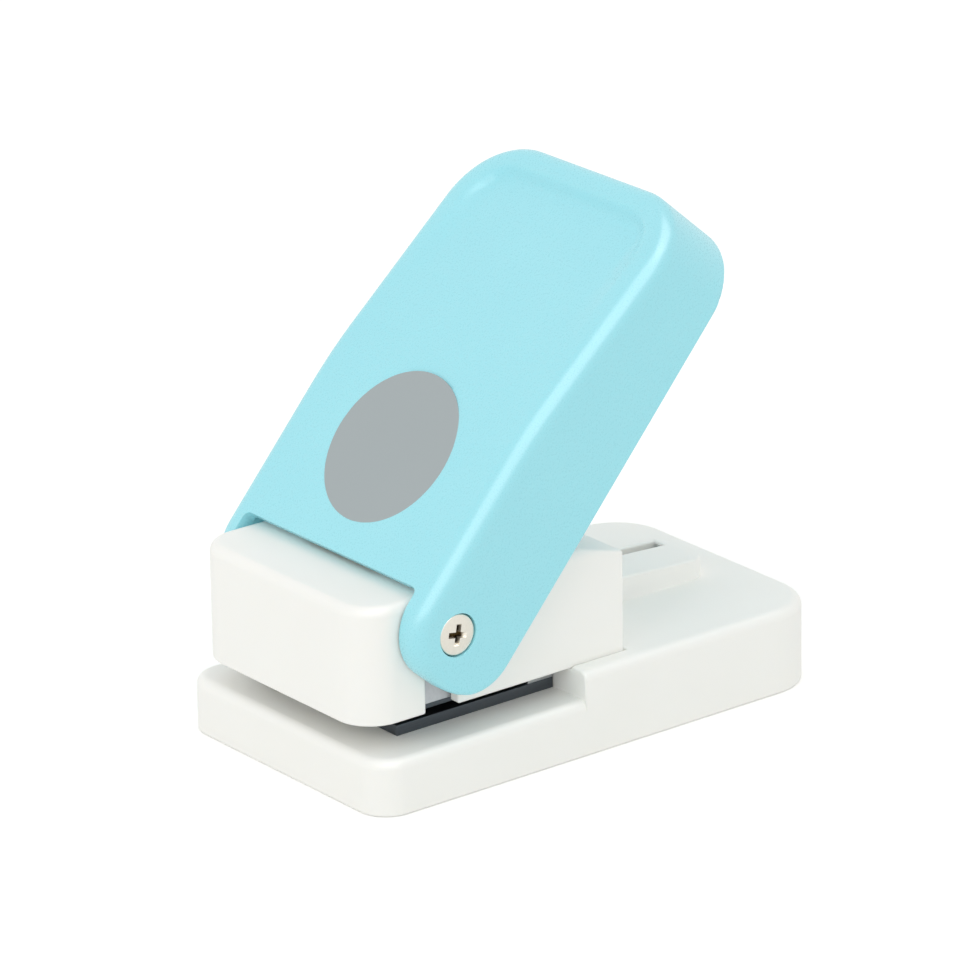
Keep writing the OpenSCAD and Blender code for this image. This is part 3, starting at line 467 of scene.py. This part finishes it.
# Pivot screws: the same screw on both sides, its crown just inside the lever's cheek
for node, side in (("pivot_screw_right", 1), ("pivot_screw_left", -1)):
    low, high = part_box(node)
    shank_l = (high[0] - low[0]) / MM - PIVOT_HEAD_H
    points, faces = screw_shape(PIVOT_HEAD_D, PIVOT_HEAD_H, PIVOT_DOME, PIVOT_RECESS, shank_l, PIVOT_TURN,
                                PIVOT_STEP)
    crown_x = max(abs(low[0]), abs(high[0])) / MM
    x, y, z = points.T
    placed = np.stack([side * (crown_x + z), PIVOT_Y + side * x, PIVOT_Z + y], 1) * MM
    piece(node + "_turned", plain_mesh(node + "_turned", placed, faces), node)


# Screws that stand in rows, driven from below

def new_tree(name, **sizes):
    """A Geometry Nodes tree with one named input for each size; returns the tree and its inputs."""
    tree = bpy.data.node_groups.new(name, "GeometryNodeTree")
    tree.interface.new_socket("Geometry", in_out="INPUT", socket_type="NodeSocketGeometry")
    tree.interface.new_socket("Geometry", in_out="OUTPUT", socket_type="NodeSocketGeometry")
    for size, kind in sizes.items():
        tree.interface.new_socket(size.replace("_", " "), in_out="INPUT", socket_type="NodeSocket" + kind)
    return tree, add(tree, "NodeGroupInput").outputs


def end_tree(tree, geometry, finish):
    """Ends a tree in plain geometry with its material."""
    real = add(tree, "GeometryNodeRealizeInstances", Geometry=geometry)
    coated = add(tree, "GeometryNodeSetMaterial", Geometry=real.outputs[0], Material=finish)
    add(tree, "NodeGroupOutput", Geometry=coated.outputs[0])


def grown(name, tree, mesh, **sizes):
    """The plain mesh that a tree makes of a mesh, with these values of its inputs."""
    sockets = {s.name: s.identifier for s in tree.interface.items_tree if s.in_out == "INPUT"}

    def set_inputs(modifiers):
        modifier = modifiers.new(name, "NODES")
        modifier.node_group = tree
        for size, value in sizes.items():
            modifier[sockets[size.replace("_", " ")]] = value

    made = evaluated_mesh(mesh, name, set_inputs)
    made.shade_smooth()
    made.set_sharp_from_angle(angle=SHARP)
    return made


screw_rows, given = new_tree("screw_rows", Across="Float", Along="Float", Rows="Int", Middle="Vector",
                             Finish="Material")
corners = add(screw_rows, "GeometryNodeMeshGrid", Size_X=given["Across"], Size_Y=given["Along"],
              Vertices_X=2, Vertices_Y=given["Rows"])
moved = add(screw_rows, "GeometryNodeTransform", Geometry=corners.outputs["Mesh"],
            Translation=given["Middle"])
driven = add(screw_rows, "GeometryNodeInstanceOnPoints", Points=moved.outputs[0],
             Instance=given["Geometry"])
end_tree(screw_rows, driven.outputs[0], given["Finish"])

for node in ("cover_screws", "die_screws", "frame_screws", "housing_screws"):
    low, high = (np.array(corner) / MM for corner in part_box(node))
    across, along, height = high - low - (SCREW_HEAD_D, SCREW_HEAD_D, 0)
    points, faces = screw_shape(SCREW_HEAD_D, SCREW_HEAD_H, SCREW_DOME, SCREW_RECESS, height - SCREW_HEAD_H,
                                0, SCREW_STEP)
    one_screw = plain_mesh(node, points * (1, -1, -1) * MM, faces)
    middle = ((low + high) / 2 * (1, 1, 0) + low * (0, 0, 1)) * MM
    rows = grown(node + "_turned", screw_rows, one_screw, Across=float(across * MM),
                 Along=float(along * MM), Rows=2 if along > SCREW_HEAD_D else 1, Middle=middle.tolist(),
                 Finish=finish_of_slot[slot_of_node[node]])
    piece(node + "_turned", rows, node)

# Return springs, wound from wire to the height of each spring's place
coil, given = new_tree("wire_coil", Coil_Radius="Float", Wire_Radius="Float", Turns="Float", Height="Float",
                       Foot="Vector", Finish="Material")
path = add(coil, "GeometryNodeCurveSpiral", Resolution=COIL_STEPS, Rotations=given["Turns"],
           Start_Radius=given["Coil Radius"], End_Radius=given["Coil Radius"], Height=given["Height"])
section = add(coil, "GeometryNodeCurvePrimitiveCircle", Resolution=WIRE_SIDES, Radius=given["Wire Radius"])
wire = add(coil, "GeometryNodeCurveToMesh", Curve=path.outputs[0], Profile_Curve=section.outputs[0],
           Fill_Caps=True)
moved = add(coil, "GeometryNodeTransform", Geometry=wire.outputs[0], Translation=given["Foot"])
end_tree(coil, moved.outputs[0], given["Finish"])

for node in ("spring_left", "spring_right"):
    low, high = (Vector(corner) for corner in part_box(node))
    middle, height = (low + high) / 2, high.z - low.z
    foot = Vector((middle.x, middle.y, low.z + WIRE_R * MM))
    spring = grown(node + "_wire", coil, bpy.data.meshes.new(node), Coil_Radius=COIL_R * MM,
                   Wire_Radius=WIRE_R * MM, Turns=COIL_TURNS, Height=height - 2 * WIRE_R * MM,
                   Foot=list(foot), Finish=finish_of_slot[slot_of_node[node]])
    made = piece(node + "_wire", spring, node)
    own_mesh(made)


# Floor, light and camera, in metres, millimetres for the lens, and degrees

FLOOR_HALF, FLOOR_LIFT, SKY, WHITE = 3.0, 0.2, 0.96, 1.0
LAMP_DISTANCE = 0.9
CAMERA_PLACE, SENSOR_W, LENS = (0.74027, -0.5811, 0.38903), 36.0, 251.95
CAMERA_AZIMUTH, CAMERA_ELEVATION, CAMERA_ROLL = 52.091, 20.564, -0.942

floor_mesh = bpy.data.meshes.new("floor")
floor_corners = [(FLOOR_HALF * x, FLOOR_HALF * y, 0) for x, y in ((-1, -1), (1, -1), (1, 1), (-1, 1))]
floor_mesh.from_pydata(floor_corners, [], [range(4)])
floor = bpy.data.objects.new("floor", floor_mesh)
bpy.context.scene.collection.objects.link(floor)

# White studio paper: matt, and lifted to white where the camera sees it, so that only the shadow shows
paper, tree = new_material("white_studio_paper")
seen = add(tree, "ShaderNodeLightPath")
lift = add(tree, "ShaderNodeEmission", Strength=FLOOR_LIFT)
plain = add(tree, "ShaderNodeBsdfDiffuse", Color=linear("#F4F4F2"))
both = add(tree, "ShaderNodeAddShader", i0=plain.outputs[0], i1=lift.outputs[0])
mixed = add(tree, "ShaderNodeMixShader", i0=seen.outputs["Is Camera Ray"], i1=plain.outputs[0],
            i2=both.outputs[0])
add(tree, "ShaderNodeOutputMaterial", Surface=mixed.outputs[0])
floor_mesh.materials.append(paper)

world = bpy.data.worlds.new("studio")
bpy.context.scene.world = world
world.use_nodes = True
tree = world.node_tree
tree.nodes.clear()
seen = add(tree, "ShaderNodeLightPath")
sky = add(tree, "ShaderNodeBackground", Color=linear("#FFFFFF"), Strength=SKY)
white = add(tree, "ShaderNodeBackground", Color=linear("#FFFFFF"), Strength=WHITE)
shown = add(tree, "ShaderNodeMath", {"operation": "MAXIMUM"}, i0=seen.outputs["Is Camera Ray"],
            i1=seen.outputs["Is Glossy Ray"])
mixed = add(tree, "ShaderNodeMixShader", i0=shown.outputs[0], i1=sky.outputs[0], i2=white.outputs[0])
add(tree, "ShaderNodeOutputWorld", Surface=mixed.outputs[0])


def direction(azimuth, elevation):
    """Unit vector towards a place round the object: 0 degrees is in front, 90 is on the right."""
    a, e = radians(azimuth), radians(elevation)
    return Vector((sin(a) * cos(e), -cos(a) * cos(e), sin(e)))


def softbox(name, azimuth, elevation, size, power):
    """Square lamp turned towards the object, with its side in metres and its power in watts."""
    light = bpy.data.lights.new(name, "AREA")
    light.size, light.energy = size, power
    lamp = bpy.data.objects.new(name, light)
    lamp.location = LAMP_DISTANCE * direction(azimuth, elevation)
    lamp.rotation_euler = direction(azimuth, elevation).to_track_quat("Z", "Y").to_euler()
    bpy.context.scene.collection.objects.link(lamp)
    return lamp


softbox("front_softbox", 22, 22, size=0.35, power=0.7)
# The other two lamps give no more than the gloss along the lever's edges and round its far corner
softbox("edge_softbox", 60, 47, size=0.9, power=7.5).visible_diffuse = False
softbox("corner_softbox", 130, 68, size=0.7, power=5.5).visible_diffuse = False

camera_data = bpy.data.cameras.new("camera")
camera_data.sensor_width, camera_data.lens = SENSOR_W, LENS
camera = bpy.data.objects.new("camera", camera_data)
bpy.context.scene.collection.objects.link(camera)
roll = radians(CAMERA_ROLL)
back = direction(CAMERA_AZIMUTH, CAMERA_ELEVATION)
right = direction(CAMERA_AZIMUTH + 90, 0)
up = back.cross(right)
right, up = right * cos(roll) + up * sin(roll), up * cos(roll) - right * sin(roll)
turned = Matrix((right, up, back)).transposed().to_4x4()
camera.matrix_world = Matrix.Translation(CAMERA_PLACE) @ turned
bpy.context.scene.camera = camera
bpy.context.scene.view_settings.view_transform = "Standard"
